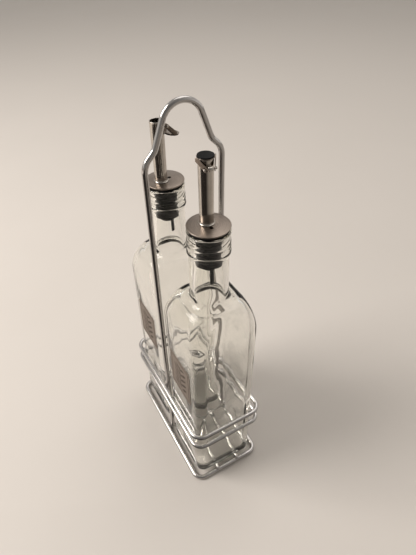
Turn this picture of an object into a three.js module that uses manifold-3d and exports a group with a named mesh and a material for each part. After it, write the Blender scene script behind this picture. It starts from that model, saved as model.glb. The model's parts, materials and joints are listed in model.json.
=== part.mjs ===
// A cruet set: two square glass bottles with flip-top pourers, standing in a chrome wire rack with a
// tall carrying handle. Millimetres, +Z up. The origin is on the table, at the centre of the rack.
// X runs along the rack, and the labels face -Y. The near bottle stands at +X, the far one at -X.
import * as THREE from "three";
import { mergeVertices } from "three/addons/utils/BufferGeometryUtils.js";
import Module from "manifold-3d";

const wasm = await Module();
wasm.setup();

// ---- Driving dimensions ----

const GAP = 0.3; // between pieces that touch

const RACK = {
  wire: 4.4, // base loop and handle
  ringWire: 4.0,
  baseWire: 3.6,
  base: { halfLength: 65.6, halfWidth: 33.8, corner: 8.4 },
  ring: { halfLength: 66.5, halfWidth: 33.6, corner: 9.3 },
  lowerRingZ: 61.8,
  upperRingZ: 76.7,
  baseWireY: 11,
  flatShare: 0.2, // width of the wire section's four flat facets, as a share of its diameter
};

const HANDLE = {
  halfWidth: 29.1, // leg centreline
  bottomCorner: 6,
  shoulderZ: 309.9, // where the leg's line meets the sloping shoulder's line
  shoulderRadius: 14,
  waist: [20.9, 318.1], // half-width and height where the shoulder turns up into the arch
  waistRadius: 11,
  apexZ: 374.5, // where the arch's two sides would meet
  archRadius: 14.7,
};

const BOTTLE = {
  halfWidth: 28.8,
  cornerShare: 0.27, // corner radius as a share of the half-width
  base: 8.6, // above the table
  wall: 3.2,
  floor: 7,
  heel: 5,
  punt: 1.6, // how far the underside is dished
  shoulderZ: 184,
  neckZ: 217,
  neckRadius: 14.5,
  neckFillet: 6, // the hollow curve where the shoulder meets the neck
  boreRadius: 9.3,
  finishZ: 255.5, // the thick band round the top of the neck
  finishRadius: 15.7,
  finishEdge: 1,
  topZ: 272.7,
};

const LABEL = { width: 34.5, height: 42, corner: 3, thickness: 0.25, middleZ: 131 };

const FLANGE = { radius: 15.3, thickness: 1.2, edge: 0.4, topZ: 276.4, ventRadius: 1.4 };

const STOPPER = {
  brimRadius: 14.4,
  brim: 2.0,
  coreRadius: 7.9,
  ribRadius: 8.9,
  ribs: 6,
  ribPitch: 3.8,
  topRib: 5, // from the brim down to the first rib
  ribRoot: 1.1, // half a rib's width where it leaves the core
  ribEdge: 0.35, // half a rib's width at its edge
  tipRadius: 5.6,
  bottomZ: 243,
  passageRadius: 3.4,
};

const AIR_TUBE = { radius: 1.3, boreRadius: 0.8, bottomZ: 229 };

const SPOUT = {
  offset: -3.0, // from the flange's centre, away from the vent
  radius: 5.1, // at the mouth
  boreRadius: 4.5,
  taper: 0.3, // how much smaller both radii are at the foot
  footRadius: 5.6,
  footHeight: 2.2,
  height: 46.3, // from the flange to the mouth
  mouthEdge: 0.2,
};

const VENT_OFFSET = 4.4; // from the flange's centre, on the other side from the spout

const FLAP = {
  plateRadius: 5.8,
  plate: 0.5,
  capRadius: 5.5,
  cap: 0.6,
  capEdge: 0.2,
  pinReach: 6.5, // from the spout's axis to the hinge pin, towards the vent
  pinDrop: 5.0, // from the mouth down to the hinge pin
  pinRadius: 0.6,
  pinHalfLength: 4.15, // between the rivet heads
  holeRadius: 0.8,
  rivetRadius: 0.95,
  rivetHead: 0.35,
  arm: 0.6,
  armTurn: THREE.MathUtils.degToRad(28), // the arms close in towards the pin
  armClearance: 0.45, // between the spout and each arm
  armRoot: { from: -3.4, to: -0.6, depth: 2.4 }, // where an arm leaves the plate, from the spout's axis
  armHeight: 3.2, // of the rounded end round the pin
  lugHalfWidth: 1.6,
  lugRadius: 1.7,
};

// Flat faces round a turned piece.
const ROUND = { bottle: 32, disc: 32, tube: 22, wire: 14, small: 12 };

// Where each bottle stands, which way its pourer's vent points, and how far its flap is tipped back.
const PLACES = [
  { name: "near", x: 35.4, y: -1.8, ventTurn: -5, flapOpen: 0 },
  { name: "far", x: -35.4, y: -0.5, ventTurn: 99, flapOpen: 190 },
];

// ---- Materials ----

const material = (color, roughness, metalness, extra = {}) =>
  new THREE.MeshStandardMaterial({ color, roughness, metalness, ...extra });

const CHROME = material(0xd8d8da, 0.08, 1);
const STEEL = material(0xb4aaa0, 0.3, 1);
const GLASS = material(0xdfe5dc, 0.05, 0, { transparent: true, opacity: 0.35 });
const RUBBER = material(0x17171a, 0.6, 0);
const BLACK_PLASTIC = material(0x0d0d0e, 0.35, 0);
const LABEL_INK = material(0x8a6a5c, 0.6, 0);

// ---- Making solids ----

function solid(geometry) {
  const bare = geometry.clone();
  bare.deleteAttribute("normal");
  bare.deleteAttribute("uv");
  const merged = mergeVertices(bare, 1e-4);
  return new wasm.Manifold(
    new wasm.Mesh({
      numProp: 3,
      vertProperties: new Float32Array(merged.attributes.position.array),
      triVerts: new Uint32Array(merged.index.array),
    }),
  );
}

function geometryOf(manifold) {
  const { numProp, vertProperties, triVerts } = manifold.getMesh();
  const position = new Float32Array((vertProperties.length / numProp) * 3);
  for (let i = 0; i < position.length / 3; i += 1) {
    position.set(vertProperties.subarray(i * numProp, i * numProp + 3), i * 3);
  }
  const geometry = new THREE.BufferGeometry();
  geometry.setAttribute("position", new THREE.BufferAttribute(position, 3));
  geometry.setIndex(new THREE.BufferAttribute(new Uint32Array(triVerts), 1));
  geometry.computeVertexNormals();
  return geometry;
}

function mesh(name, geometry, finish) {
  const made = new THREE.Mesh(geometry, finish);
  made.name = name;
  return made;
}

// A turned solid about +Z from [radius, height] pairs, bottom to top on the outside.
function turned(profile, segments) {
  const points = profile.map(([r, z]) => new THREE.Vector2(r, z));
  return new THREE.LatheGeometry(points, segments).rotateX(Math.PI / 2);
}

// A cylinder along +Z from z0 to z1, with its axis moved to x. It tapers if the top's radius differs.
function rod(radius, z0, z1, segments, x = 0, topRadius = radius) {
  return new THREE.CylinderGeometry(topRadius, radius, z1 - z0, segments)
    .rotateX(Math.PI / 2)
    .translate(x, 0, (z0 + z1) / 2);
}

// [radius, height] pairs along a quarter-ellipse about (r, z). It runs from the level of z up to its
// top when rising is true, and from its bottom up to the level of z when it is false.
function quarter(r, z, width, height, steps, rising) {
  const from = rising ? 0 : -Math.PI / 2;
  return new THREE.EllipseCurve(r, z, width, height, from, from + Math.PI / 2)
    .getPoints(steps)
    .map(({ x, y }) => [x, y]);
}

// [radius, height] pairs up the hollow quarter-circle that brings a shoulder in to a neck's wall. The
// lowest point is left out, as it ends the shoulder.
function hollow(wallRadius, topZ, radius, steps) {
  const bulge = quarter(0, topZ, radius, radius, steps, false);
  return bulge.slice(1).map(([r, z]) => [wallRadius + radius - r, z]);
}

// The closed outline through these corners, each { at: [x, y], radius } rounded by an arc.
function roundedOutline(corners, arcSteps) {
  const outline = [];
  corners.forEach(({ at, radius }, i) => {
    const corner = new THREE.Vector2(...at);
    const before = new THREE.Vector2(...corners.at(i - 1).at).sub(corner).normalize();
    const after = new THREE.Vector2(...corners[(i + 1) % corners.length].at).sub(corner).normalize();
    const half = Math.acos(THREE.MathUtils.clamp(before.dot(after), -1, 1)) / 2;
    const inward = before.clone().add(after).normalize();
    const centre = corner.clone().addScaledVector(inward, radius / Math.sin(half));
    const start = corner.clone().addScaledVector(before, radius / Math.tan(half)).sub(centre);
    const turn = Math.sign(after.cross(before)) * (Math.PI - 2 * half);
    for (let step = 0; step <= arcSteps; step += 1) {
      const spoke = start.clone().rotateAround(new THREE.Vector2(), (turn * step) / arcSteps);
      outline.push(spoke.add(centre));
    }
  });
  return outline;
}

// The outline moved sideways by a small distance, outwards when positive.
function offsetOutline(outline, distance) {
  return outline.map((point, i) => {
    const before = outline.at(i - 1);
    const after = outline[(i + 1) % outline.length];
    const along = after.clone().sub(before).normalize();
    return point.clone().add(new THREE.Vector2(along.y, -along.x).multiplyScalar(distance));
  });
}

// A closed loop of round wire lying flat on the XY plane. Its section is round but for four narrow
// flat facets, so the loop has a real face to rest on.
function wireLoop(outline, diameter) {
  const flat = diameter * RACK.flatShare;
  const bevel = (diameter - flat) / 2;
  const strip = new THREE.Shape(offsetOutline(outline, flat / 2));
  strip.holes.push(new THREE.Path(offsetOutline(outline, -flat / 2)));
  return new THREE.ExtrudeGeometry(strip, {
    depth: flat,
    bevelThickness: bevel,
    bevelSize: bevel,
    bevelSegments: 2,
  }).translate(0, 0, -flat / 2);
}

// ---- The rack ----

function rectangleLoop({ halfLength, halfWidth, corner }, diameter) {
  const corners = [
    [halfLength, -halfWidth],
    [halfLength, halfWidth],
    [-halfLength, halfWidth],
    [-halfLength, -halfWidth],
  ];
  return wireLoop(roundedOutline(corners.map((at) => ({ at, radius: corner })), 4), diameter);
}

function handleLoop() {
  const { halfWidth, bottomCorner, shoulderZ, shoulderRadius, waist, waistRadius } = HANDLE;
  const right = [
    { at: [halfWidth, RACK.wire / 2], radius: bottomCorner },
    { at: [halfWidth, shoulderZ], radius: shoulderRadius },
    { at: waist, radius: waistRadius },
  ];
  const left = right.map(({ at: [y, z], radius }) => ({ at: [-y, z], radius })).reverse();
  const apex = { at: [0, HANDLE.apexZ], radius: HANDLE.archRadius };
  const outline = roundedOutline([...right, apex, ...left], 6);
  // Drawn as (y, z) on the XY plane, then stood up across the rack.
  return wireLoop(outline, RACK.wire).rotateX(Math.PI / 2).rotateZ(Math.PI / 2);
}

function baseWire() {
  const radius = RACK.baseWire / 2;
  const reach = RACK.base.halfLength + RACK.wire / 2;
  const end = quarter(0, reach - radius, radius, radius, 3, true);
  const otherEnd = end.map(([r, z]) => [r, -z]).reverse();
  return turned([...otherEnd, ...end], ROUND.wire).rotateY(Math.PI / 2);
}

function rack() {
  const group = new THREE.Group();
  const base = mesh("base_loop", rectangleLoop(RACK.base, RACK.wire), CHROME);
  base.position.z = RACK.wire / 2;
  const lower = mesh("lower_ring", rectangleLoop(RACK.ring, RACK.ringWire), CHROME);
  lower.position.z = RACK.lowerRingZ;
  const upper = mesh("upper_ring", rectangleLoop(RACK.ring, RACK.ringWire), CHROME);
  upper.position.z = RACK.upperRingZ;
  group.add(base, lower, upper, mesh("handle", handleLoop(), CHROME));
  for (const [name, side] of [["left_base_wire", -1], ["right_base_wire", 1]]) {
    const wire = mesh(name, baseWire(), CHROME);
    wire.position.set(0, side * RACK.baseWireY, RACK.wire + GAP + RACK.baseWire / 2);
    group.add(wire);
  }
  return group;
}

// ---- A bottle ----

// How far the section has turned from the body's rounded square (0) to the neck's circle (1).
function roundness(z) {
  const { shoulderZ, neckZ } = BOTTLE;
  return THREE.MathUtils.clamp((z - shoulderZ) / (neckZ - shoulderZ), 0, 1) ** 2;
}

// Distance from the axis to a rounded square of this half-width, in a direction that is turned
// from the face's middle by an angle of up to 45 degrees.
function squareReach(halfWidth, corner, angle) {
  const straight = halfWidth - corner;
  if (halfWidth * Math.tan(angle) <= straight) return halfWidth / Math.cos(angle);
  const sum = Math.cos(angle) + Math.sin(angle);
  const inside = corner ** 2 - straight ** 2 * (1 - Math.sin(2 * angle));
  return straight * sum + Math.sqrt(Math.max(inside, 0));
}

function squareOff(geometry) {
  const position = geometry.getAttribute("position");
  for (let i = 0; i < position.count; i += 1) {
    const [x, y, z] = [position.getX(i), position.getY(i), position.getZ(i)];
    const halfWidth = Math.hypot(x, y);
    const angle = Math.atan2(y, x);
    const bunched = angle + 0.15 * Math.sin(4 * angle); // more sections round the corners
    const share = THREE.MathUtils.lerp(BOTTLE.cornerShare, 1, roundness(z));
    const fold = Math.abs(bunched - (Math.PI / 2) * Math.round(bunched / (Math.PI / 2)));
    const reach = squareReach(halfWidth, halfWidth * share, fold);
    position.setXY(i, reach * Math.cos(bunched), reach * Math.sin(bunched));
  }
  return geometry;
}

function bottle() {
  const { halfWidth, base, wall, floor, heel, punt, shoulderZ, neckZ, neckRadius } = BOTTLE;
  const { neckFillet, boreRadius, finishZ, finishRadius, finishEdge, topZ } = BOTTLE;
  const standing = halfWidth - heel; // the edge of the flat the bottle stands on
  const outerNeck = neckRadius + neckFillet;
  const shoulderHeight = neckZ - neckFillet - shoulderZ;
  const outside = [
    [0, base + punt],
    [standing - 2 * punt, base + punt],
    ...quarter(standing, base + heel, heel, heel, 3, false),
    ...quarter(outerNeck, shoulderZ, halfWidth - outerNeck, shoulderHeight, 8, true),
    ...hollow(neckRadius, neckZ, neckFillet, 4),
    [neckRadius, finishZ - finishEdge],
    [finishRadius, finishZ],
    [finishRadius, topZ - finishEdge],
    [finishRadius - finishEdge, topZ],
  ];
  const innerHalf = halfWidth - wall;
  const innerNeck = boreRadius + neckFillet;
  const inside = [
    [0, base + floor],
    ...quarter(innerHalf - heel, base + floor + heel, heel, heel, 2, false),
    ...quarter(innerNeck, shoulderZ, innerHalf - innerNeck, shoulderHeight - wall, 6, true),
    ...hollow(boreRadius, neckZ - wall, neckFillet, 3),
    [boreRadius, topZ - finishEdge],
    [boreRadius + finishEdge, topZ],
  ];
  return squareOff(turned([...outside, ...inside.reverse()], ROUND.bottle));
}

function label() {
  const [halfWidth, halfHeight] = [LABEL.width / 2, LABEL.height / 2];
  const corners = [
    [halfWidth, -halfHeight],
    [halfWidth, halfHeight],
    [-halfWidth, halfHeight],
    [-halfWidth, -halfHeight],
  ].map((at) => ({ at, radius: LABEL.corner }));
  const shape = new THREE.Shape(roundedOutline(corners, 4));
  const settings = { depth: LABEL.thickness, bevelEnabled: false };
  const face = -(BOTTLE.halfWidth + GAP);
  return new THREE.ExtrudeGeometry(shape, settings)
    .rotateX(Math.PI / 2)
    .translate(0, face, LABEL.middleZ);
}

// ---- A pourer, with its vent towards +X and its flap shut ----

const MOUTH_Z = FLANGE.topZ + GAP + SPOUT.height;
const PIN = { x: SPOUT.offset + FLAP.pinReach, z: MOUTH_Z - FLAP.pinDrop };

function stopper() {
  const { brim, brimRadius, coreRadius, ribRadius, ribRoot, ribEdge, tipRadius, bottomZ } = STOPPER;
  const top = FLANGE.topZ - FLANGE.thickness - GAP;
  const brimZ = top - brim;
  const ribs = [];
  for (let i = STOPPER.ribs - 1; i >= 0; i -= 1) {
    const z = brimZ - STOPPER.topRib - i * STOPPER.ribPitch;
    ribs.push([coreRadius, z - ribRoot], [ribRadius, z - ribEdge]);
    ribs.push([ribRadius, z + ribEdge], [coreRadius, z + ribRoot]);
  }
  const profile = [
    [0, bottomZ],
    [tipRadius, bottomZ],
    ...ribs,
    [coreRadius, brimZ],
    [brimRadius, brimZ],
    [brimRadius, top],
    [0, top],
  ];
  const body = solid(turned(profile, ROUND.tube));
  const passage = rod(STOPPER.passageRadius, bottomZ - 1, top + 1, ROUND.wire, SPOUT.offset);
  const airHole = rod(AIR_TUBE.radius + GAP, bottomZ - 1, top + 1, ROUND.small, VENT_OFFSET);
  return geometryOf(body.subtract(solid(passage)).subtract(solid(airHole)));
}

function airTube() {
  const { radius, boreRadius, bottomZ } = AIR_TUBE;
  const top = FLANGE.topZ - FLANGE.thickness - GAP;
  const wall = [
    [boreRadius, bottomZ],
    [radius, bottomZ],
    [radius, top],
    [boreRadius, top],
    [boreRadius, bottomZ],
  ];
  return turned(wall, ROUND.small).translate(VENT_OFFSET, 0, 0);
}

function flange() {
  const { radius, thickness, edge, topZ, ventRadius } = FLANGE;
  const under = topZ - thickness;
  const disc = [
    [0, under],
    [radius - edge, under],
    [radius, under + edge],
    [radius, topZ - edge],
    [radius - edge, topZ],
    [0, topZ],
  ];
  const spoutHole = rod(SPOUT.boreRadius - SPOUT.taper, under - 1, topZ + 1, ROUND.tube, SPOUT.offset);
  const vent = rod(ventRadius, under - 1, topZ + 1, ROUND.small, VENT_OFFSET);
  const blank = solid(turned(disc, ROUND.disc));
  return geometryOf(blank.subtract(solid(spoutHole)).subtract(solid(vent)));
}

// A cylinder along Y with its axis on the hinge pin's.
function acrossPin(radius, halfLength, segments) {
  return new THREE.CylinderGeometry(radius, radius, 2 * halfLength, segments).translate(PIN.x, 0, PIN.z);
}

// The slightly tapered tube, with its rolled foot and the small hinge lug near its mouth.
function spout() {
  const { offset, radius, boreRadius, taper, footRadius, footHeight, mouthEdge } = SPOUT;
  const { pinReach, lugHalfWidth, lugRadius, holeRadius } = FLAP;
  const foot = FLANGE.topZ + GAP;
  const outside = [
    [0, foot],
    ...quarter(radius - taper, foot, footRadius - radius + taper, footHeight, 3, true),
    [radius, MOUTH_Z - mouthEdge],
    [radius - mouthEdge, MOUTH_Z],
    [0, MOUTH_Z],
  ];
  const tube = solid(turned(outside, ROUND.tube).translate(offset, 0, 0));
  const knuckle = solid(acrossPin(lugRadius, lugHalfWidth, ROUND.wire));
  const reach = pinReach - boreRadius;
  const box = new THREE.BoxGeometry(reach, 2 * lugHalfWidth, 2 * lugRadius);
  const web = solid(box.translate(PIN.x - reach / 2, 0, PIN.z));
  const bore = solid(rod(boreRadius - taper, foot - 1, MOUTH_Z + 1, ROUND.tube, offset, boreRadius));
  const pinHole = solid(acrossPin(holeRadius, lugHalfWidth + 1, ROUND.small));
  return geometryOf(tube.add(knuckle).add(web).subtract(bore).subtract(pinHole));
}

// One steel arm: a sloping band from the plate's side down to the hinge pin. side is +1 or -1 in Y.
function flapArm(side) {
  const { arm, armHeight, armTurn, armRoot, armClearance, pinReach, pinDrop, plate } = FLAP;
  const innerFace = SPOUT.radius + armClearance;
  const pin = {
    along: (pinReach - innerFace * Math.sin(armTurn)) / Math.cos(armTurn),
    down: pinDrop + GAP + plate, // from the plate's top
  };
  const end = armHeight / 2;
  const slope = Math.PI / 5; // where the rounded end takes over from the sloping edge
  const band = new THREE.Shape();
  band.moveTo(armRoot.from, 0);
  band.lineTo(armRoot.to, 0);
  band.absarc(pin.along, -pin.down, end, slope, slope - Math.PI, true);
  band.lineTo(armRoot.from, -armRoot.depth);
  const sheet = new THREE.ExtrudeGeometry(band, { depth: arm, bevelEnabled: false, curveSegments: 6 });
  sheet.rotateX(Math.PI / 2); // drawn as (along, height), thickness towards -Y
  sheet.translate(0, side > 0 ? innerFace + arm : -innerFace, 0);
  sheet.rotateZ(-side * armTurn);
  return sheet.translate(SPOUT.offset, 0, MOUTH_Z + GAP + plate);
}

function flap() {
  const under = MOUTH_Z + GAP;
  const plate = solid(rod(FLAP.plateRadius, under, under + FLAP.plate, ROUND.tube, SPOUT.offset));
  const arms = [-1, 1].map((side) => solid(flapArm(side)));
  const hole = solid(acrossPin(FLAP.holeRadius, 2 * FLAP.pinHalfLength, ROUND.small));
  return geometryOf(plate.add(arms[0]).add(arms[1]).subtract(hole));
}

function flapCap() {
  const { plate, capRadius, cap, capEdge } = FLAP;
  const under = MOUTH_Z + plate + 2 * GAP;
  const profile = [
    [0, under],
    [capRadius, under],
    [capRadius, under + cap - capEdge],
    [capRadius - capEdge, under + cap],
    [0, under + cap],
  ];
  return turned(profile, ROUND.tube).translate(SPOUT.offset, 0, 0);
}

function hingePin() {
  const { pinRadius, pinHalfLength, rivetRadius, rivetHead } = FLAP;
  const head = quarter(0, pinHalfLength, rivetRadius, rivetHead, 2, true);
  const end = [[pinRadius, pinHalfLength], ...head];
  const otherEnd = end.map(([r, z]) => [r, -z]).reverse();
  return turned([...otherEnd, ...end], ROUND.small)
    .rotateX(-Math.PI / 2)
    .translate(PIN.x, 0, PIN.z);
}

// The parts that turn with the flap, tipped back about the hinge pin by an angle in degrees.
function tippedFlap(place) {
  const hinge = new THREE.Group();
  hinge.position.set(PIN.x, 0, PIN.z);
  hinge.rotation.y = THREE.MathUtils.degToRad(place.flapOpen);
  const parts = new THREE.Group();
  parts.position.set(-PIN.x, 0, -PIN.z);
  parts.add(mesh(`${place.name}_flap`, flap(), STEEL));
  parts.add(mesh(`${place.name}_flap_cap`, flapCap(), BLACK_PLASTIC));
  hinge.add(parts);
  return hinge;
}

function pourer(place) {
  const group = new THREE.Group();
  group.rotation.z = THREE.MathUtils.degToRad(place.ventTurn);
  group.add(
    mesh(`${place.name}_stopper`, stopper(), RUBBER),
    mesh(`${place.name}_air_tube`, airTube(), BLACK_PLASTIC),
    mesh(`${place.name}_flange`, flange(), STEEL),
    mesh(`${place.name}_spout`, spout(), STEEL),
    mesh(`${place.name}_hinge_pin`, hingePin(), STEEL),
    tippedFlap(place),
  );
  return group;
}

// ---- The whole set ----

const cruetSet = new THREE.Group();
cruetSet.add(rack());
for (const place of PLACES) {
  const cruet = new THREE.Group();
  cruet.position.set(place.x, place.y, 0);
  cruet.add(mesh(`${place.name}_bottle`, bottle(), GLASS));
  cruet.add(mesh(`${place.name}_label`, label(), LABEL_INK));
  cruet.add(pourer(place));
  cruetSet.add(cruet);
}

export default cruetSet;
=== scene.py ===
"""The looks of a cruet set: square glass bottles with flip-cap steel pourers, in a chrome wire rack.

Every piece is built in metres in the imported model's frame: +Z up, the labels facing -Y, the near
bottle at +X. Pourer pieces are built round the pourer's own axis with the vent towards +X and the
flap shut, and are then set in place.
"""

import json
import math

import bmesh
import bpy
from mathutils import Matrix, Quaternion, Vector, noise


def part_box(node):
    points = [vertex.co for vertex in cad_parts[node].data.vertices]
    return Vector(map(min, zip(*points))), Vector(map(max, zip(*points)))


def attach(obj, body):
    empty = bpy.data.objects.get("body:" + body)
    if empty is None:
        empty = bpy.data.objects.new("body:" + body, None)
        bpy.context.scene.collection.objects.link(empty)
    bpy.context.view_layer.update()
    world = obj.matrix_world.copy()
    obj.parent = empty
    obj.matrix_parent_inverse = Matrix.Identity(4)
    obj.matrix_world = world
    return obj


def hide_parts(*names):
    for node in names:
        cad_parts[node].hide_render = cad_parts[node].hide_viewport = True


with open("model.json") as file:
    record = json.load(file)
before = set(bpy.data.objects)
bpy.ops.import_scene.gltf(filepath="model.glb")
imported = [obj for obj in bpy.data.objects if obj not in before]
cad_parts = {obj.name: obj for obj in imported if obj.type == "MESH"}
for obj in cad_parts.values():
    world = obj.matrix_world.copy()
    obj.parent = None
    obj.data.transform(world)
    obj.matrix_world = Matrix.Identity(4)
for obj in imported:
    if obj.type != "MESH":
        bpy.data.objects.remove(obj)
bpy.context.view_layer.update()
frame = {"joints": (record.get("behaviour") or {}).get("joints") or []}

MM = 0.001

# ---- Driving dimensions, in millimetres ----

RACK = {"base_corner": 8.4, "ring_corner": 9.3, "rod_radius": 2.2}

WIRE = {"step": 3.0, "unevenness": 0.03, "uneven_over": 9}

WELDS = {
    "seam": 2.25,  # from the middle of a leg to the gap beside the wire outside it
    "ring_size": (2.5, 1.0, 1.2),
    "base_size": (1.2, 1.7, 0.7),
    "base_drop": 0.1,
    "lump": 0.22,
    "grain": 0.06,
}

HANDLE = {
    "bottom_corner": 6.0,
    "shoulder_z": 309.9,
    "shoulder_radius": 14.0,
    "waist": (20.9, 318.1),
    "waist_radius": 11.0,
    "apex_z": 374.5,
    "arch_radius": 14.7,
}

BOTTLE = {
    "half_width": 28.8,
    "corner_share": 0.27,
    "wall": 3.2,
    "floor": 7.0,
    "heel": 5.0,
    "punt": 1.6,
    "shoulder_z": 184.0,
    "neck_z": 217.0,
    "neck_radius": 14.5,
    "fillet": 6.0,
    "bore_radius": 9.3,
    "low_bore": 11.0,
    "finish_z": 255.5,
    "finish_radius": 15.0,
    "bead_radius": 15.7,
    "around": 160,
}

THREAD = {"start_z": 259.5, "pitch": 3.6, "turns": 1.9, "height": 0.5, "width": 1.3, "run_in": 1 / 6}

GLASS_WAVE = {"inside": 0.65, "outside": 0.05, "across": 17.0, "along": 26.0, "fade": 20}

LABEL = {
    "width": 34.5,
    "height": 42.0,
    "corner": 3.0,
    "thickness": 0.2,
    "middle_z": 131.0,
    "gap": 0.12,
}

# The label's print: a frame, and a sprig with one leaf on each side of its stem, repeated up it.
PRINT = {
    "inset": 2.6,
    "line": 0.6,
    "leaf_pitch": 6.5,
    "leaf_slope": 0.7,
    "leaf_middle": 5.4,
    "leaf_half_length": 4.8,
    "leaf_half_width": 1.7,
    "stem": 0.7,
    "half_height": 14.0,
}

FLANGE = {"radius": 15.3, "vent_radius": 1.4, "edge": 0.35}
STOPPER = {
    "brim_radius": 14.4,
    "brim": 2.0,
    "core_radius": 7.7,
    "rib_radius": 8.95,
    "rib_root": 1.25,
    "rib_flank": 0.9,
    "rib_edge": 0.4,
    "ribs": 7,
    "pitch": 3.6,
    "top_rib": 4.4,
    "tip_radius": 5.8,
}
AIR_TUBE = {"radius": 1.3, "bore": 0.8, "slant": 1.4}
SPOUT = {
    "offset": -3.0,
    "radius": 5.1,
    "bore": 4.5,
    "taper": 0.3,
    "foot_radius": 5.6,
    "foot_height": 2.2,
}
VENT_OFFSET = 4.4
FLAP = {
    "plate_radius": 5.8,
    "plate": 0.5,
    "cap_radius": 5.5,
    "cap": 0.6,
    "gap": 0.3,
    "arm": 0.6,
    "arm_turn": math.radians(28),
    "arm_clearance": 0.45,
    "arm_start": -3.4,
    "arm_stop": -0.6,
    "arm_depth": 2.4,
    "arm_height": 3.2,
    "arm_slope": 36,  # degrees; where the rounded end takes over from the sloping edge
    "edge": 0.2,
    "cap_edge": 0.3,
    "pin_radius": 0.6,
    "pin_half": 4.15,
    "rivet_radius": 0.95,
    "rivet_head": 0.35,
    "lug_radius": 1.7,
    "lug_half_width": 1.6,
}

CAMERA = {
    "at": (0.25246, -0.12255, 0.44407),
    "aim": (0.02026, 0.00556, 0.21568),
    "roll": -0.83,
    "lens": 29.195,
}

# In metres, but for the fade, which is the share of the width over which the flag turns pale.
FLAG = {"from_set": 0.09, "depth": 1.7, "width": 1.5, "height": 0.001, "fade": 0.26}

LIGHTS = {
    "window": {
        "at": (-0.55, -1.2, 1.25),
        "aim": (0, 0, 0.15),
        "size": (0.9, 1.1),
        "power": 29,
        "colour": (1.0, 0.96, 0.92),
    },
    "overhead": {
        "at": (-0.5, 0.7, 1.8),
        "aim": (0, 0, 0.1),
        "size": (1.4, 1.4),
        "power": 9,
        "colour": (1.0, 0.965, 0.93),
    },
}

# ---- Materials ----


def node(tree, kind, inputs=None, **settings):
    """A new shader node. inputs maps a socket to a value, or to another node's output to link."""
    made = tree.nodes.new("ShaderNode" + kind)
    for key, value in settings.items():
        setattr(made, key, value)
    for key, value in (inputs or {}).items():
        if isinstance(value, bpy.types.NodeSocket):
            tree.links.new(value, made.inputs[key])
        else:
            made.inputs[key].default_value = value
    return made


def material(name, **values):
    """A Principled material with plain values, its node tree and its shader. Names use _ for spaces."""
    made = bpy.data.materials.new(name)
    made.use_nodes = True
    shader = made.node_tree.nodes["Principled BSDF"]
    for key, value in values.items():
        shader.inputs[key.replace("_", " ")].default_value = value
    return made, made.node_tree, shader


def place_in(tree):
    """Where a surface point is in its piece's own frame, in metres."""
    return node(tree, "TexCoord").outputs["Object"]


def speckle(tree, vector, scale, detail=3.0, distortion=0.0):
    """Noise from 0 to 1, with scale ripples to the metre."""
    values = {"Vector": vector, "Scale": scale, "Detail": detail, "Distortion": distortion}
    return node(tree, "TexNoise", values).outputs[0]


def spread(tree, value, low, high, start=0.3, end=0.7):
    """The value from start..end stretched to low..high."""
    return node(tree, "MapRange", {0: value, 1: start, 2: end, 3: low, 4: high}).outputs[0]


def tinted(tree, share, first, second):
    """A colour from first to second as share goes from 0 to 1."""
    return node(tree, "Mix", {0: share, 6: (*first, 1), 7: (*second, 1)}, data_type="RGBA").outputs[2]


def maths(tree, operation, first, second=0.0):
    return node(tree, "Math", {0: first, 1: second}, operation=operation).outputs[0]


def bumped(tree, shader, height, strength, distance):
    values = {"Height": height, "Strength": strength, "Distance": distance}
    tree.links.new(node(tree, "Bump", values).outputs[0], shader.inputs["Normal"])


def drive(tree, shader, socket, output):
    tree.links.new(output, shader.inputs[socket])


def chrome_material():
    made, tree, shader = material("chrome_wire", Metallic=1.0)
    at = place_in(tree)
    smudge = speckle(tree, at, 70.0, 4.0)
    drive(tree, shader, "Roughness", spread(tree, smudge, 0.09, 0.18))
    drive(tree, shader, "Base Color", tinted(tree, smudge, (0.43, 0.41, 0.4), (0.57, 0.55, 0.535)))
    bumped(tree, shader, speckle(tree, at, 900.0, 2.0), 0.06, 0.0002)
    return made


def weld_material():
    made, tree, shader = material("weld", Metallic=0.85)
    at = place_in(tree)
    burn = speckle(tree, at, 900.0, 4.0)
    drive(tree, shader, "Roughness", spread(tree, burn, 0.3, 0.6))
    drive(tree, shader, "Base Color", tinted(tree, burn, (0.05, 0.042, 0.038), (0.2, 0.18, 0.17)))
    bumped(tree, shader, speckle(tree, at, 2500.0, 3.0), 0.4, 0.0002)
    return made


def steel_material(name, dark, light, smooth, rough):
    """Satin steel, brushed round the piece's own axis, mottled from a dark to a light tone."""
    made, tree, shader = material(name, Metallic=1.0, Anisotropic=0.4)
    at = place_in(tree)
    flat = node(tree, "VectorMath", {0: at, 1: (1, 1, 0)}, operation="MULTIPLY").outputs[0]
    radius = node(tree, "VectorMath", {0: flat}, operation="LENGTH").outputs["Value"]
    height = node(tree, "SeparateXYZ", {0: at}).outputs[2]
    rings = node(tree, "CombineXYZ", {0: radius, 2: height}).outputs[0]
    brushed = speckle(tree, rings, 5200.0, 3.0)
    patina = speckle(tree, at, 160.0, 5.0, 0.6)
    drive(tree, shader, "Roughness", spread(tree, brushed, smooth, rough))
    drive(tree, shader, "Base Color", tinted(tree, patina, dark, light))
    bumped(tree, shader, brushed, 0.08, 0.00004)
    return made


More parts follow.
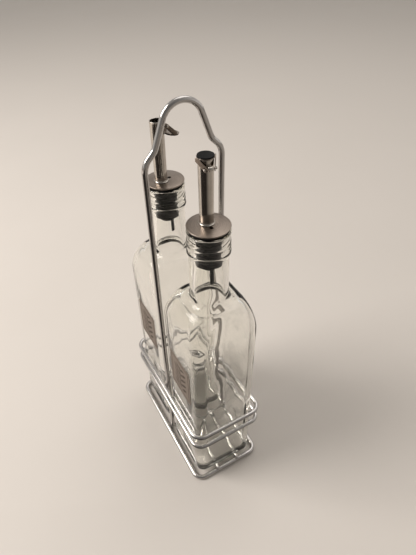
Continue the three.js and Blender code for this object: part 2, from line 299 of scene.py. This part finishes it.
def glass_material():
    made, tree, shader = material("glass", Transmission_Weight=1.0, IOR=1.5)
    shader.inputs["Base Color"].default_value = (0.99, 0.99, 0.98, 1)
    # Halved reflections, so that the black stoppers aren't veiled.
    shader.inputs["Specular Tint"].default_value = (0.5, 0.5, 0.5, 1)
    at = place_in(tree)
    drive(tree, shader, "Roughness", spread(tree, speckle(tree, at, 45.0, 4.0), 0.0, 0.03, 0.45, 0.8))
    bumped(tree, shader, speckle(tree, at, 90.0, 1.0), 0.05, 0.001)
    absorbing = node(tree, "VolumeAbsorption", {"Color": (0.74, 0.69, 0.44, 1), "Density": 11.0})
    tree.links.new(absorbing.outputs[0], tree.nodes["Material Output"].inputs["Volume"])
    return made


def rubber_material():
    made, tree, shader = material("rubber", Specular_IOR_Level=0.1)
    at = place_in(tree)
    dust = speckle(tree, at, 320.0, 6.0)
    drive(tree, shader, "Roughness", spread(tree, dust, 0.5, 0.8))
    drive(tree, shader, "Base Color", tinted(tree, dust, (0.002, 0.002, 0.0025), (0.009, 0.009, 0.01)))
    bumped(tree, shader, speckle(tree, at, 1800.0, 2.0), 0.2, 0.0001)
    return made


def plastic_material():
    made, tree, shader = material("black_plastic", Specular_IOR_Level=0.06)
    at = place_in(tree)
    grain = speckle(tree, at, 1500.0, 3.0)
    drive(tree, shader, "Roughness", spread(tree, grain, 0.28, 0.42))
    drive(tree, shader, "Base Color", tinted(tree, grain, (0.004, 0.004, 0.004), (0.009, 0.009, 0.0095)))
    bumped(tree, shader, grain, 0.1, 0.00005)
    return made


def label_material():
    """Mottled brown film, printed with a frame and a sprig of leaves."""
    made, tree, shader = material("label_film", Specular_IOR_Level=0.1)
    at = place_in(tree)
    across, _, up = node(tree, "SeparateXYZ", {0: at}).outputs
    inward = maths(tree, "ABSOLUTE", across)
    level = maths(tree, "ABSOLUTE", up)
    sideways = maths(tree, "SUBTRACT", inward, (LABEL["width"] / 2 - PRINT["inset"]) * MM)
    vertical = maths(tree, "SUBTRACT", level, (LABEL["height"] / 2 - PRINT["inset"]) * MM)
    edge = maths(tree, "ABSOLUTE", maths(tree, "MAXIMUM", sideways, vertical))
    border = maths(tree, "LESS_THAN", edge, PRINT["line"] * MM)
    # A leaf is an ellipse across and up its cell, which slopes away from the stem.
    cell = PRINT["leaf_pitch"] * MM
    rise = maths(tree, "SUBTRACT", up, maths(tree, "MULTIPLY", inward, PRINT["leaf_slope"]))
    along = maths(tree, "SUBTRACT", maths(tree, "FLOORED_MODULO", rise, cell), cell / 2)
    thin = maths(tree, "POWER", maths(tree, "DIVIDE", along, PRINT["leaf_half_width"] * MM), 2.0)
    middle = maths(tree, "SUBTRACT", inward, PRINT["leaf_middle"] * MM)
    long = maths(tree, "POWER", maths(tree, "DIVIDE", middle, PRINT["leaf_half_length"] * MM), 2.0)
    leaf = maths(tree, "LESS_THAN", maths(tree, "ADD", thin, long), 1.0)
    stem = maths(tree, "LESS_THAN", inward, PRINT["stem"] * MM)
    inside = maths(tree, "LESS_THAN", level, PRINT["half_height"] * MM)
    sprig = maths(tree, "MULTIPLY", maths(tree, "MAXIMUM", leaf, stem), inside)
    worn = spread(tree, speckle(tree, at, 900.0, 4.0), 0.35, 1.0)
    ink = maths(tree, "MULTIPLY", maths(tree, "MAXIMUM", border, sprig), worn)
    film = tinted(tree, speckle(tree, at, 240.0, 5.0), (0.15, 0.122, 0.1), (0.25, 0.208, 0.175))
    printed = node(tree, "Mix", {0: ink, 6: film, 7: (0.022, 0.015, 0.012, 1)}, data_type="RGBA")
    drive(tree, shader, "Base Color", printed.outputs[2])
    drive(tree, shader, "Roughness", spread(tree, worn, 0.65, 0.75, 0.35, 1.0))
    bumped(tree, shader, speckle(tree, at, 2200.0, 3.0), 0.1, 0.00005)
    return made


def floor_material():
    made, tree, shader = material("floor_paper", Specular_IOR_Level=0.25)
    at = place_in(tree)
    mottle = speckle(tree, at, 5.0, 4.0)
    drive(tree, shader, "Roughness", spread(tree, mottle, 0.5, 0.65))
    drive(tree, shader, "Base Color", tinted(tree, mottle, (0.6, 0.555, 0.51), (0.64, 0.595, 0.55)))
    return made


CHROME = chrome_material()
WELD = weld_material()
STEEL = steel_material("satin_steel", (0.42, 0.38, 0.34), (0.6, 0.56, 0.51), 0.1, 0.2)
DULL_STEEL = steel_material("dull_steel", (0.19, 0.155, 0.13), (0.32, 0.27, 0.23), 0.24, 0.36)
GLASS = glass_material()
RUBBER = rubber_material()
PLASTIC = plastic_material()
FILM = label_material()

# ---- Making meshes ----


def skin(rings, closed=False):
    """A mesh over rings of points, each joined to the next, and the last to the first if closed."""
    shape = bmesh.new()
    rows = [[shape.verts.new(point) for point in ring] for ring in rings]
    pairs = list(zip(rows, rows[1:]))
    if closed:
        pairs.append((rows[-1], rows[0]))
    for low, high in pairs:
        for i, start in enumerate(low):
            j = (i + 1) % len(low)
            shape.faces.new((start, low[j], high[j], high[i]))
    bmesh.ops.remove_doubles(shape, verts=shape.verts, dist=1e-7)
    return shape


def ring(radius, z, around, centre=(0.0, 0.0)):
    """Points round a level circle; radius and z are in millimetres."""
    turns = [2 * math.pi * i / around for i in range(around)]
    return [
        Vector((centre[0] + radius * math.cos(t), centre[1] + radius * math.sin(t), z)) * MM for t in turns
    ]


def lathe(profile, around=96, closed=False):
    """A turned shape from (radius, height) pairs in millimetres."""
    return skin([ring(radius, z, around) for radius, z in profile], closed)


def arc(centre, radii, start, end, steps=6):
    """Points along part of an ellipse, from one angle to another in degrees."""
    points = []
    for step in range(steps + 1):
        turn = math.radians(start + (end - start) * step / steps)
        points.append((centre[0] + radii[0] * math.cos(turn), centre[1] + radii[1] * math.sin(turn)))
    return points


def slab(outline, thickness, edge):
    """A flat plate with rounded edges, from (x, y) points in millimetres, standing on z = 0."""
    shape = bmesh.new()
    face = shape.faces.new([shape.verts.new(Vector((x, y, 0)) * MM) for x, y in outline])
    grown = bmesh.ops.extrude_face_region(shape, geom=[face])["geom"]
    lifted = [part for part in grown if isinstance(part, bmesh.types.BMVert)]
    bmesh.ops.translate(shape, verts=lifted, vec=(0, 0, thickness * MM))
    bmesh.ops.recalc_face_normals(shape, faces=shape.faces)
    rims = [e for e in shape.edges if e.calc_face_angle(0) > math.radians(60)]
    bmesh.ops.bevel(shape, geom=rims, offset=edge * MM, segments=3, profile=0.5, affect="EDGES")
    return shape


def joined(*shapes):
    """One mesh that holds several."""
    whole = bmesh.new()
    for shape in shapes:
        mesh = bpy.data.meshes.new("part")
        shape.to_mesh(mesh)
        whole.from_mesh(mesh)
        bpy.data.meshes.remove(mesh)
        shape.free()
    return whole


def piece(name, shape, finish, body, matrix=None, stands_for=(), sharp=40):
    """A shaded piece that rides on a body and stands for CAD nodes."""
    bmesh.ops.recalc_face_normals(shape, faces=shape.faces)
    mesh = bpy.data.meshes.new(name)
    shape.to_mesh(mesh)
    shape.free()
    mesh.shade_smooth()
    mesh.set_sharp_from_angle(angle=math.radians(sharp))
    mesh.materials.append(finish)
    made = bpy.data.objects.new(name, mesh)
    bpy.context.scene.collection.objects.link(made)
    made.matrix_world = matrix or Matrix.Identity(4)
    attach(made, body)
    if stands_for:
        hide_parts(*stands_for)
    return made


# ---- Wires ----


def rounded_path(corners, turn_step=3.0):
    """A closed outline through ((x, y), radius) corners, each turned by an arc."""
    path = []
    for i, (at, radius) in enumerate(corners):
        corner = Vector(at)
        before = (Vector(corners[i - 1][0]) - corner).normalized()
        after = (Vector(corners[(i + 1) % len(corners)][0]) - corner).normalized()
        half = before.angle(after) / 2
        centre = corner + (before + after).normalized() * radius / math.sin(half)
        spoke = corner + before * radius / math.tan(half) - centre
        side = 1 if before.x * after.y - before.y * after.x < 0 else -1
        turn = side * (math.pi - 2 * half)
        steps = max(2, round(math.degrees(abs(turn)) / turn_step))
        for step in range(steps + 1):
            path.append(centre + Matrix.Rotation(turn * step / steps, 2) @ spoke)
    return path


def spaced(path, gap):
    """The closed path with points added, so that none is further than gap from the next."""
    points = []
    for start, end in zip(path, path[1:] + path[:1]):
        steps = max(1, math.ceil((end - start).length / gap))
        points.extend(start.lerp(end, step / steps) for step in range(steps))
    return points


def wire_loop(outline, diameter, to_world, around=24):
    """Round wire along a closed flat outline in millimetres, with the faint unevenness of a bent rod."""
    path = spaced(outline, WIRE["step"])
    rings = []
    for i, point in enumerate(path):
        along = (path[(i + 1) % len(path)] - path[i - 1]).normalized()
        out = Vector((along.y, -along.x))
        uneven = abs(noise.noise(Vector((point.x, point.y, 0)) / WIRE["uneven_over"]))
        radius = diameter / 2 - WIRE["unevenness"] * uneven
        section = []
        for k in range(around):
            turn = 2 * math.pi * k / around
            flat = point + out * radius * math.cos(turn)
            section.append(to_world @ Vector((flat.x, flat.y, radius * math.sin(turn))) * MM)
        rings.append(section)
    return skin(rings, closed=True)


def rectangle_loop(node_name, corner):
    """The wire of a level loop, its size read from the CAD node's box."""
    low, high = (Vector(c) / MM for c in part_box(node_name))
    wire = high.z - low.z
    x, y = high.x - wire / 2, high.y - wire / 2
    corners = [((x, -y), corner), ((x, y), corner), ((-x, y), corner), ((-x, -y), corner)]
    level = Matrix.Translation((0, 0, low.z + wire / 2))
    return wire_loop(rounded_path(corners), wire, level)


def handle_loop():
    """The handle's closed wire: up one leg, over the arch, down the other and back under the bottles."""
    low, high = (Vector(c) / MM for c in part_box("handle"))
    wire = high.x - low.x
    leg = high.y - wire / 2
    right = [
        ((leg, low.z + wire / 2), HANDLE["bottom_corner"]),
        ((leg, HANDLE["shoulder_z"]), HANDLE["shoulder_radius"]),
        (HANDLE["waist"], HANDLE["waist_radius"]),
    ]
    left = [((-at[0], at[1]), radius) for at, radius in reversed(right)]
    apex = ((0, HANDLE["apex_z"]), HANDLE["arch_radius"])
    stood_up = Matrix(((0, 0, 1, 0), (1, 0, 0, 0), (0, 1, 0, 0), (0, 0, 0, 1)))  # (y, z) to the world
    return wire_loop(rounded_path([*right, apex, *left]), wire, stood_up)


def base_wire(node_name):
    """A straight wire along X with rounded ends."""
    low, high = (Vector(c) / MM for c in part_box(node_name))
    radius = (high.z - low.z) / 2
    centre = (low + high) / 2
    end = [(r, high.x - radius + x) for x, r in arc((0, 0), (radius, radius), 90, 0, 8)]
    other_end = [(r, -x) for r, x in reversed(end)]
    shape = lathe([*other_end, *end], 24)
    bmesh.ops.rotate(shape, verts=shape.verts, matrix=Matrix.Rotation(math.pi / 2, 3, "Y"))
    bmesh.ops.translate(shape, verts=shape.verts, vec=Vector((0, centre.y, centre.z)) * MM)
    return shape


def weld(at, size):
    """A lump of weld: a ball drawn out to a size in millimetres, with an uneven skin."""
    shape = bmesh.new()
    bmesh.ops.create_icosphere(shape, subdivisions=4, radius=1.0)
    for vert in shape.verts:
        lump = WELDS["lump"] * noise.noise(vert.co * 1.7 + Vector(at))
        grain = WELDS["grain"] * noise.noise(vert.co * 6)
        vert.co = (Vector(at) + vert.co * (1 + lump + grain) * Vector(size)) * MM
    return shape


def make_rack():
    for name, corner in (
        ("base_loop", RACK["base_corner"]),
        ("lower_ring", RACK["ring_corner"]),
        ("upper_ring", RACK["ring_corner"]),
    ):
        piece(f"{name}_wire", rectangle_loop(name, corner), CHROME, "rack", None, [name])
    piece("handle_wire", handle_loop(), CHROME, "rack", None, ["handle"])
    for name in ("left_base_wire", "right_base_wire"):
        piece(f"{name}_rod", base_wire(name), CHROME, "rack", None, [name])
    make_welds()


def make_welds():
    """Lumps where the rings meet the handle's legs, and where the base wires cross the wires below."""
    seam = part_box("handle")[1].y / MM - RACK["rod_radius"] + WELDS["seam"]
    for level in ("base_loop", "lower_ring", "upper_ring"):
        low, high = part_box(level)
        z = (low.z + high.z) / 2 / MM
        for side, where in ((-1, "front"), (1, "back")):
            lump = weld((0, side * seam, z), WELDS["ring_size"])
            piece(f"{level}_{where}_weld", lump, WELD, "rack")
    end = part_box("base_loop")[1].x / MM - RACK["rod_radius"]
    for name in ("left_base_wire", "right_base_wire"):
        low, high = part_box(name)
        y = (low.y + high.y) / 2 / MM
        for x, where in ((-end, "far"), (0, "middle"), (end, "near")):
            lump = weld((x, y, low.z / MM - WELDS["base_drop"]), WELDS["base_size"])
            piece(f"{name}_{where}_weld", lump, WELD, "rack")


# ---- Bottles ----


def square_reach(half_width, corner, angle):
    """Distance from the axis to a rounded square, in a direction at up to 45 degrees to a face."""
    straight = half_width - corner
    if half_width * math.tan(angle) <= straight:
        return half_width / math.cos(angle)
    inside = corner**2 - straight**2 * (1 - math.sin(2 * angle))
    return straight * (math.cos(angle) + math.sin(angle)) + math.sqrt(max(inside, 0))


def thread_height(z, angle):
    """How far the screw thread stands out of the neck's band at a height and angle."""
    turns = (z - THREAD["start_z"]) / THREAD["pitch"] - angle / (2 * math.pi)
    wound = round(turns) + angle / (2 * math.pi)
    if not 0 <= wound <= THREAD["turns"]:
        return 0.0
    off = abs(turns - round(turns)) * THREAD["pitch"] / THREAD["width"]
    taper = min(1.0, wound / THREAD["run_in"], (THREAD["turns"] - wound) / THREAD["run_in"])
    return THREAD["height"] * taper * max(0.0, 1 - off**2)


def glass_ring(half_width, z, wave, threaded=False):
    """One level ring of the bottle's glass: a rounded square that turns round towards the neck."""
    rise = (z - BOTTLE["shoulder_z"]) / (BOTTLE["neck_z"] - BOTTLE["shoulder_z"])
    share = BOTTLE["corner_share"]
    share += (1 - share) * min(max(rise, 0.0), 1.0) ** 2
    points = []
    for i in range(BOTTLE["around"]):
        turn = 2 * math.pi * i / BOTTLE["around"]
        bunched = turn + 0.15 * math.sin(4 * turn)  # more points round the corners
        fold = abs(bunched - math.pi / 2 * round(bunched / (math.pi / 2)))
        reach = square_reach(half_width, half_width * share, fold)
        place = Vector((math.cos(bunched), math.sin(bunched))) * reach
        across, along = GLASS_WAVE["across"], GLASS_WAVE["along"]
        reach += wave * noise.noise(Vector((place.x / across, place.y / across, z / along)))
        if threaded:
            reach += thread_height(z, turn)
        points.append(Vector((reach * math.cos(bunched), reach * math.sin(bunched), z)) * MM)
    return points


def upright(radius, low, high, gap, top_radius=None):
    """(radius, height) pairs up or down a wall, which slopes if the radius at its end differs."""
    steps = max(1, round(abs(high - low) / gap))
    change = 0 if top_radius is None else top_radius - radius
    return [(radius + change * i / steps, low + (high - low) * i / steps) for i in range(steps + 1)]


def bottle_shape(base, top):
    """The hollow glass: up the outside from the punt, over the lip and down the inside to the floor."""
    b = BOTTLE
    heel, fillet, wall = b["heel"], b["fillet"], b["wall"]
    half, neck, shoulder_z = b["half_width"], b["neck_radius"], b["shoulder_z"]
    standing = half - heel
    shoulder_rise = b["neck_z"] - fillet - shoulder_z
    lip = b["finish_radius"]
    outside = [
        (0, base + b["punt"]),
        (standing * 0.5, base + b["punt"] * 0.9),
        (standing - 2 * b["punt"], base + b["punt"] * 0.5),
        *arc((standing, base + heel), (heel, heel), -90, 0, 10),
        *upright(half, base + heel + 3, shoulder_z - 2, 4.0),
        *arc((neck + fillet, shoulder_z), (half - neck - fillet, shoulder_rise), 0, 90, 28),
        *arc((neck + fillet, b["neck_z"]), (fillet, fillet), 260, 180, 8),
        *upright(neck, b["neck_z"] + 4, b["finish_z"] - 2, 4.0),
    ]
    bead = b["bead_radius"]
    band = [
        *arc((lip, b["finish_z"] + 0.6), (bead - lip, 1.5), -90, 90, 8),
        *upright(lip, b["finish_z"] + 2.6, top - 2.2, 0.3),
        *arc((lip - 0.6, top - 0.9), (1.0, 0.9), -20, 90, 8),
    ]
    inner_half = half - wall
    inner_rise = shoulder_rise - wall
    bore, low_bore = b["bore_radius"], b["low_bore"]
    floor = base + b["floor"]
    inside = [
        (0, floor + 1.2),
        (inner_half * 0.35, floor + 0.9),
        (inner_half * 0.65, floor + 0.3),
        *arc((inner_half - heel, floor + heel), (heel, heel), -90, 0, 8),
        *upright(inner_half, floor + heel + 3, shoulder_z - 2, 4.0),
        *arc((low_bore + fillet, shoulder_z), (inner_half - low_bore - fillet, inner_rise), 0, 90, 24),
        *arc((low_bore + fillet, b["neck_z"] - wall), (fillet, fillet), 260, 180, 8),
        *upright(low_bore, b["neck_z"] + 1, b["finish_z"] - 12, 4.0, bore),
        *upright(bore, b["finish_z"] - 9, top - 1.6, 4.0),
        *arc((bore + 1.2, top - 1.1), (1.2, 1.1), 180, 90, 5),
    ]
    rings = [glass_ring(r, z, GLASS_WAVE["outside"]) for r, z in outside]
    rings += [glass_ring(r, z, 0.0, threaded=True) for r, z in band]
    for r, z in reversed(inside):
        in_body = min(1.0, max(0.0, (b["neck_z"] - z) / GLASS_WAVE["fade"]))
        rings.append(glass_ring(r, z, GLASS_WAVE["inside"] * in_body))
    return skin(rings)


def label_shape():
    width, height, corner = LABEL["width"] / 2, LABEL["height"] / 2, LABEL["corner"]
    corners = [((width, -height), corner), ((width, height), corner), ((-width, height), corner)]
    outline = rounded_path([*corners, ((-width, -height), corner)], 10.0)
    shape = slab([tuple(point) for point in outline], LABEL["thickness"], 0.06)
    bmesh.ops.rotate(shape, verts=shape.verts, matrix=Matrix.Rotation(math.pi / 2, 3, "X"))
    return shape


# ---- Pourers, with the vent towards +X and the flap shut ----


def stopper_shape(top, bottom):
    s = STOPPER
    brim_z = top - s["brim"]
    core, rib = s["core_radius"], s["rib_radius"]
    root, flank, edge = s["rib_root"], s["rib_flank"], s["rib_edge"]
    profile = [(0, bottom), *arc((s["tip_radius"] - 0.8, bottom + 0.8), (0.8, 0.8), -90, 0, 4)]
    for i in reversed(range(s["ribs"])):
        z = brim_z - s["top_rib"] - i * s["pitch"]
        profile += [(core, z - root), (core + 0.15, z - flank)]
        profile += arc((rib - edge, z), (edge, 0.38), -80, 80, 6)
        profile += [(core + 0.15, z + flank), (core, z + root)]
    profile += arc((core + 1.0, brim_z - 1.0), (1.0, 1.0), 180, 90, 4)
    profile += arc((s["brim_radius"] - 0.5, brim_z + 0.5), (0.5, 0.5), -90, 0, 4)
    profile += arc((s["brim_radius"] - 0.3, top - 0.3), (0.3, 0.3), 0, 90, 3)
    profile.append((0, top))
    return lathe(profile)


def air_tube_shape(top, bottom):
    """A thin hollow tube with a slanted lower end."""
    radius, bore = AIR_TUBE["radius"], AIR_TUBE["bore"]
    lip = [(bore, bottom), (bore + 0.1, bottom - 0.1), (radius - 0.1, bottom - 0.1), (radius, bottom)]
    sides = [*upright(radius, bottom + 4, top, 8.0), *upright(bore, top, bottom + 4, 8.0)]
    shape = lathe([*lip, *sides], 32, closed=True)
    slant = AIR_TUBE["slant"] / (2 * radius)
    for vert in shape.verts:
        if vert.co.z < (bottom + 1) * MM:
            vert.co.z += (vert.co.x + radius * MM) * slant
    return shape


def disc_with_holes(radius, edge, low, high, holes):
    """A round plate with a softened edge, and upright holes given as (x, radius)."""
    rim = arc((radius - edge, high - edge), (edge, edge), -60, 90, 5)
    blank = lathe([(0, low), (radius - edge, low), *rim, (0, high)])
    return cut(blank, [upright_drill(x, size, low - 1, high + 1) for x, size in holes])


def upright_drill(x, radius, low, high):
    """A solid cylinder along Z, standing at x."""
    steps = ((0, low), (radius, low), (radius, high), (0, high))
    return skin([ring(r, z, 48, (x, 0)) for r, z in steps])


def cut(shape, cutters):
    """The shape with each cutter's volume taken away."""
    solids = []
    for part in (shape, *cutters):
        bmesh.ops.recalc_face_normals(part, faces=part.faces)
        mesh = bpy.data.meshes.new("cutting")
        part.to_mesh(mesh)
        part.free()
        made = bpy.data.objects.new("cutting", mesh)
        bpy.context.scene.collection.objects.link(made)
        solids.append(made)
    whole = solids[0]
    for cutter in solids[1:]:
        step = whole.modifiers.new("cut", "BOOLEAN")
        step.operation = "DIFFERENCE"
        step.object = cutter
    result = bmesh.new()
    result.from_object(whole, bpy.context.evaluated_depsgraph_get())
    for made in solids:
        bpy.data.meshes.remove(made.data)
    return result


def spout_shape(foot, mouth):
    """The steel tube about its own axis, with a rolled foot and a softened mouth."""
    radius, bore, taper = SPOUT["radius"], SPOUT["bore"], SPOUT["taper"]
    foot_radius, rise = SPOUT["foot_radius"], SPOUT["foot_height"]
    wall = (radius - bore) / 2
    low_radius = radius - taper
    profile = [
        (bore - taper, foot),
        (foot_radius, foot),
        *arc((foot_radius, foot + rise), (foot_radius - low_radius, rise - 0.2), 270, 180, 8),
        *upright(low_radius, foot + rise + 1, mouth - 1.5, 3.0, radius),
        *arc((radius - wall, mouth - wall), (wall, wall), 0, 180, 8),
        *upright(bore, mouth - 1.5, foot + 1.5, 3.0, bore - taper),
    ]
    return lathe(profile, closed=True)


def lug_shape(pin):
    """The block that carries the hinge pin, from the tube's side out round the pin. pin is (x, z)."""
    radius, half = FLAP["lug_radius"], FLAP["lug_half_width"]
    root = SPOUT["bore"] + 0.3
    outline = [(root, pin[1] - radius), *arc(pin, (radius, radius), -90, 90, 16), (root, pin[1] + radius)]
    shape = slab(outline, 2 * half, 0.25)
    bmesh.ops.rotate(shape, verts=shape.verts, matrix=Matrix.Rotation(math.pi / 2, 3, "X"))
    bmesh.ops.translate(shape, verts=shape.verts, vec=(0, half * MM, 0))
    return shape


def arm_shape(side, pin, plate_top):
    """A sloping steel band from the plate's side down to the pin, about the spout's axis."""
    turn, clear, thick = FLAP["arm_turn"], FLAP["arm_clearance"], FLAP["arm"]
    start, slope = FLAP["arm_start"], FLAP["arm_slope"]
    inner = SPOUT["radius"] + clear
    tip = (pin[0] - inner * math.sin(turn)) / math.cos(turn)
    end = FLAP["arm_height"] / 2
    outline = [
        (start, plate_top),
        (FLAP["arm_stop"], plate_top),
        *arc((tip, pin[1]), (end, end), slope, slope - 180, 14),
        (start, plate_top - FLAP["arm_depth"]),
    ]
    shape = slab(outline, thick, 0.12)
    bmesh.ops.rotate(shape, verts=shape.verts, matrix=Matrix.Rotation(math.pi / 2, 3, "X"))
    bmesh.ops.translate(shape, verts=shape.verts, vec=(0, (inner + thick if side > 0 else -inner) * MM, 0))
    bmesh.ops.rotate(shape, verts=shape.verts, matrix=Matrix.Rotation(-side * turn, 3, "Z"))
    return shape


def flap_shape(pin, mouth):
    low = mouth + FLAP["gap"]
    high = low + FLAP["plate"]
    radius, edge = FLAP["plate_radius"], FLAP["edge"]
    under_rim = arc((radius - edge, low + edge), (edge, edge), -90, 0, 3)
    rim = arc((radius - edge, high - edge), (edge, edge), 0, 90, 3)
    plate = lathe([(0, low), *under_rim, *rim, (0, high)])
    return joined(plate, arm_shape(-1, pin, high), arm_shape(1, pin, high))


def cap_shape(mouth):
    low = mouth + FLAP["plate"] + FLAP["gap"] + 0.05
    high = mouth + FLAP["plate"] + 2 * FLAP["gap"] + FLAP["cap"]
    radius, edge = FLAP["cap_radius"], FLAP["cap_edge"]
    rim = arc((radius - edge, high - edge), (edge, edge), 0, 90, 6)
    return lathe([(0, low), (radius, low), *rim, (radius * 0.5, high), (0, high)])


def pin_shape(pin):
    """The hinge pin and its domed rivet heads, lying along Y."""
    half, radius = FLAP["pin_half"], FLAP["rivet_radius"]
    head = arc((0, half), (radius, FLAP["rivet_head"]), 8, 90, 6)
    end = [(FLAP["pin_radius"], half), (radius, half), *head]
    other_end = [(r, -y) for r, y in reversed(end)]
    shape = lathe([*other_end, *end], 32)
    bmesh.ops.rotate(shape, verts=shape.verts, matrix=Matrix.Rotation(-math.pi / 2, 3, "X"))
    bmesh.ops.translate(shape, verts=shape.verts, vec=Vector((pin[0], 0, pin[1])) * MM)
    return shape


# ---- Putting a cruet together ----


def joint(name):
    """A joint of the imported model, by name."""
    return next(j for j in frame["joints"] if j["name"] == name)


def make_bottle(name):
    low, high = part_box(f"{name}_bottle")
    at = Matrix.Translation(((low.x + high.x) / 2, (low.y + high.y) / 2, 0))
    glass = bottle_shape(low.z / MM, high.z / MM)
    piece(f"{name}_bottle_glass", glass, GLASS, f"{name}_bottle", at, [f"{name}_bottle"])
    face = -(BOTTLE["half_width"] + LABEL["gap"])
    on_face = at @ Matrix.Translation(Vector((0, face, LABEL["middle_z"])) * MM)
    piece(f"{name}_label_film", label_shape(), FILM, f"{name}_bottle", on_face, [f"{name}_label"])
    return at


def make_pourer(name, at):
    """The pourer's pieces. at is the bottle's place; the turn comes from the flap's hinge axis."""
    hinge = joint(f"{name}_flap_hinge")
    turned = at @ Matrix.Rotation(math.atan2(-hinge["axis"][0], hinge["axis"][1]), 4, "Z")
    on_spout = turned @ Matrix.Translation(Vector((SPOUT["offset"], 0, 0)) * MM)
    on_vent = turned @ Matrix.Translation(Vector((VENT_OFFSET, 0, 0)) * MM)
    pin_at = on_spout.inverted() @ Vector(hinge["pos_m"]) / MM
    pin = (pin_at.x, pin_at.z)
    low, high = {}, {}
    for part in ("stopper", "air_tube", "flange", "spout", "hinge_pin"):
        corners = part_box(f"{name}_{part}")
        low[part], high[part] = corners[0].z / MM, corners[1].z / MM
    holes = [(SPOUT["offset"], SPOUT["bore"] - SPOUT["taper"]), (VENT_OFFSET, FLANGE["vent_radius"])]
    disc = disc_with_holes(FLANGE["radius"], FLANGE["edge"], low["flange"], high["flange"], holes)
    tube = spout_shape(low["spout"], high["spout"])
    shapes = {
        "stopper": (stopper_shape(high["stopper"], low["stopper"]), RUBBER, "rubber", turned),
        "air_tube": (air_tube_shape(high["air_tube"], low["air_tube"]), PLASTIC, "black_plastic", on_vent),
        "flange": (disc, DULL_STEEL, "steel", turned),
        "spout": (joined(tube, lug_shape(pin)), STEEL, "steel", on_spout),
        "hinge_pin": (pin_shape(pin), STEEL, "steel", on_spout),
    }
    for part, (shape, finish, slot, matrix) in shapes.items():
        piece(f"{name}_{part}_body", shape, finish, f"{name}_pourer", matrix, [f"{name}_{part}"])
    # The flap stands tipped back by as much as its joint can still close.
    tip = math.radians(-hinge["range_deg"][0])
    to_pin = Matrix.Translation(Vector((pin[0], 0, pin[1])) * MM)
    tipped = on_spout @ to_pin @ Matrix.Rotation(tip, 4, "Y") @ to_pin.inverted()
    mouth = high["spout"]
    body, plate, cap = f"{name}_flap", flap_shape(pin, mouth), cap_shape(mouth)
    piece(f"{name}_flap_plate", plate, DULL_STEEL, body, tipped, [f"{name}_flap"])
    # The near-black cap disc is a painted dark reflection on the lid's top.
    piece(f"{name}_flap_dark_top_disc", cap, PLASTIC, body, tipped, [f"{name}_flap_cap"])


# ---- Floor, light and camera ----


def make_floor():
    bpy.ops.mesh.primitive_plane_add(size=14)
    floor = bpy.context.object
    floor.name = "floor"
    floor.data.materials.append(floor_material())


def area_light(name, at, aim, size, power, colour):
    data = bpy.data.lights.new(name, "AREA")
    data.shape = "RECTANGLE"
    data.size, data.size_y = size
    data.energy = power
    data.color = colour
    light = bpy.data.objects.new(name, data)
    light.location = at
    light.rotation_euler = (Vector(aim) - Vector(at)).to_track_quat("-Z", "Y").to_euler()
    bpy.context.scene.collection.objects.link(light)


def make_room():
    """A pale room, darker overhead and on the camera's side, so that the chrome has something to show."""
    world = bpy.data.worlds.new("room")
    bpy.context.scene.world = world
    world.use_nodes = True
    tree = world.node_tree
    direction = node(tree, "TexCoord").outputs["Generated"]
    to_camera = camera_side()
    facing = node(tree, "VectorMath", {0: direction, 1: to_camera}, operation="DOT_PRODUCT")
    side = spread(tree, facing.outputs["Value"], 1.0, 0.3, 0.2, 0.8)
    height = node(tree, "SeparateXYZ", {0: direction}).outputs[2]
    light = maths(tree, "MULTIPLY", side, spread(tree, height, 1.0, 0.5, 0.15, 0.85))
    colour = tinted(tree, light, (0.0, 0.0, 0.0), (1.0, 0.955, 0.9))
    tree.links.new(colour, tree.nodes["Background"].inputs["Color"])
    tree.nodes["Background"].inputs["Strength"].default_value = 0.8
    bpy.context.scene.view_settings.view_transform = "Standard"


def camera_side():
    """The level direction from the set towards the camera."""
    return Vector((CAMERA["at"][0], CAMERA["at"][1], 0)).normalized()


def make_flag():
    """A dark sheet like a studio flag, lying out of view between the set and the camera, for dark
    reflections: painted dark reflections standing for shade on the camera's side.
    """
    bpy.ops.mesh.primitive_plane_add(size=1)
    flag = bpy.context.object
    flag.name = "flag"
    flag.scale = (FLAG["depth"], FLAG["width"], 1)
    flag.location = camera_side() * (FLAG["from_set"] + FLAG["depth"] / 2) + Vector((0, 0, FLAG["height"]))
    flag.rotation_euler.z = math.atan2(camera_side().y, camera_side().x)
    # Only reflections show it, and it neither shades nor lights the set.
    flag.visible_camera = False
    flag.visible_diffuse = False
    flag.visible_shadow = False
    flag.visible_transmission = False
    # Painted dark reflection: dark on the left, fading slowly to the right.
    sheet_finish, tree, shader = material("dark_reflection_sheet", Roughness=1.0, Specular_IOR_Level=0.0)
    across = node(tree, "SeparateXYZ", {0: place_in(tree)}).outputs[1]
    fade = spread(tree, across, 0.0, 0.75, 0.0, FLAG["fade"])
    drive(tree, shader, "Base Color", tinted(tree, fade, (0.03, 0.026, 0.024), (0.6, 0.56, 0.51)))
    flag.data.materials.append(sheet_finish)


def make_camera():
    data = bpy.data.cameras.new("camera")
    data.sensor_width = 36
    data.lens = CAMERA["lens"]
    camera = bpy.data.objects.new("camera", data)
    at, aim = Vector(CAMERA["at"]), Vector(CAMERA["aim"])
    camera.location = at
    camera.rotation_mode = "QUATERNION"
    roll = Quaternion((0, 0, 1), math.radians(CAMERA["roll"]))
    camera.rotation_quaternion = (aim - at).to_track_quat("-Z", "Y") @ roll
    bpy.context.scene.collection.objects.link(camera)
    bpy.context.scene.camera = camera


make_rack()
for cruet in ("near", "far"):
    make_pourer(cruet, make_bottle(cruet))
make_floor()
make_flag()
make_room()
for light_name, light_values in LIGHTS.items():
    area_light(light_name, **light_values)
make_camera()
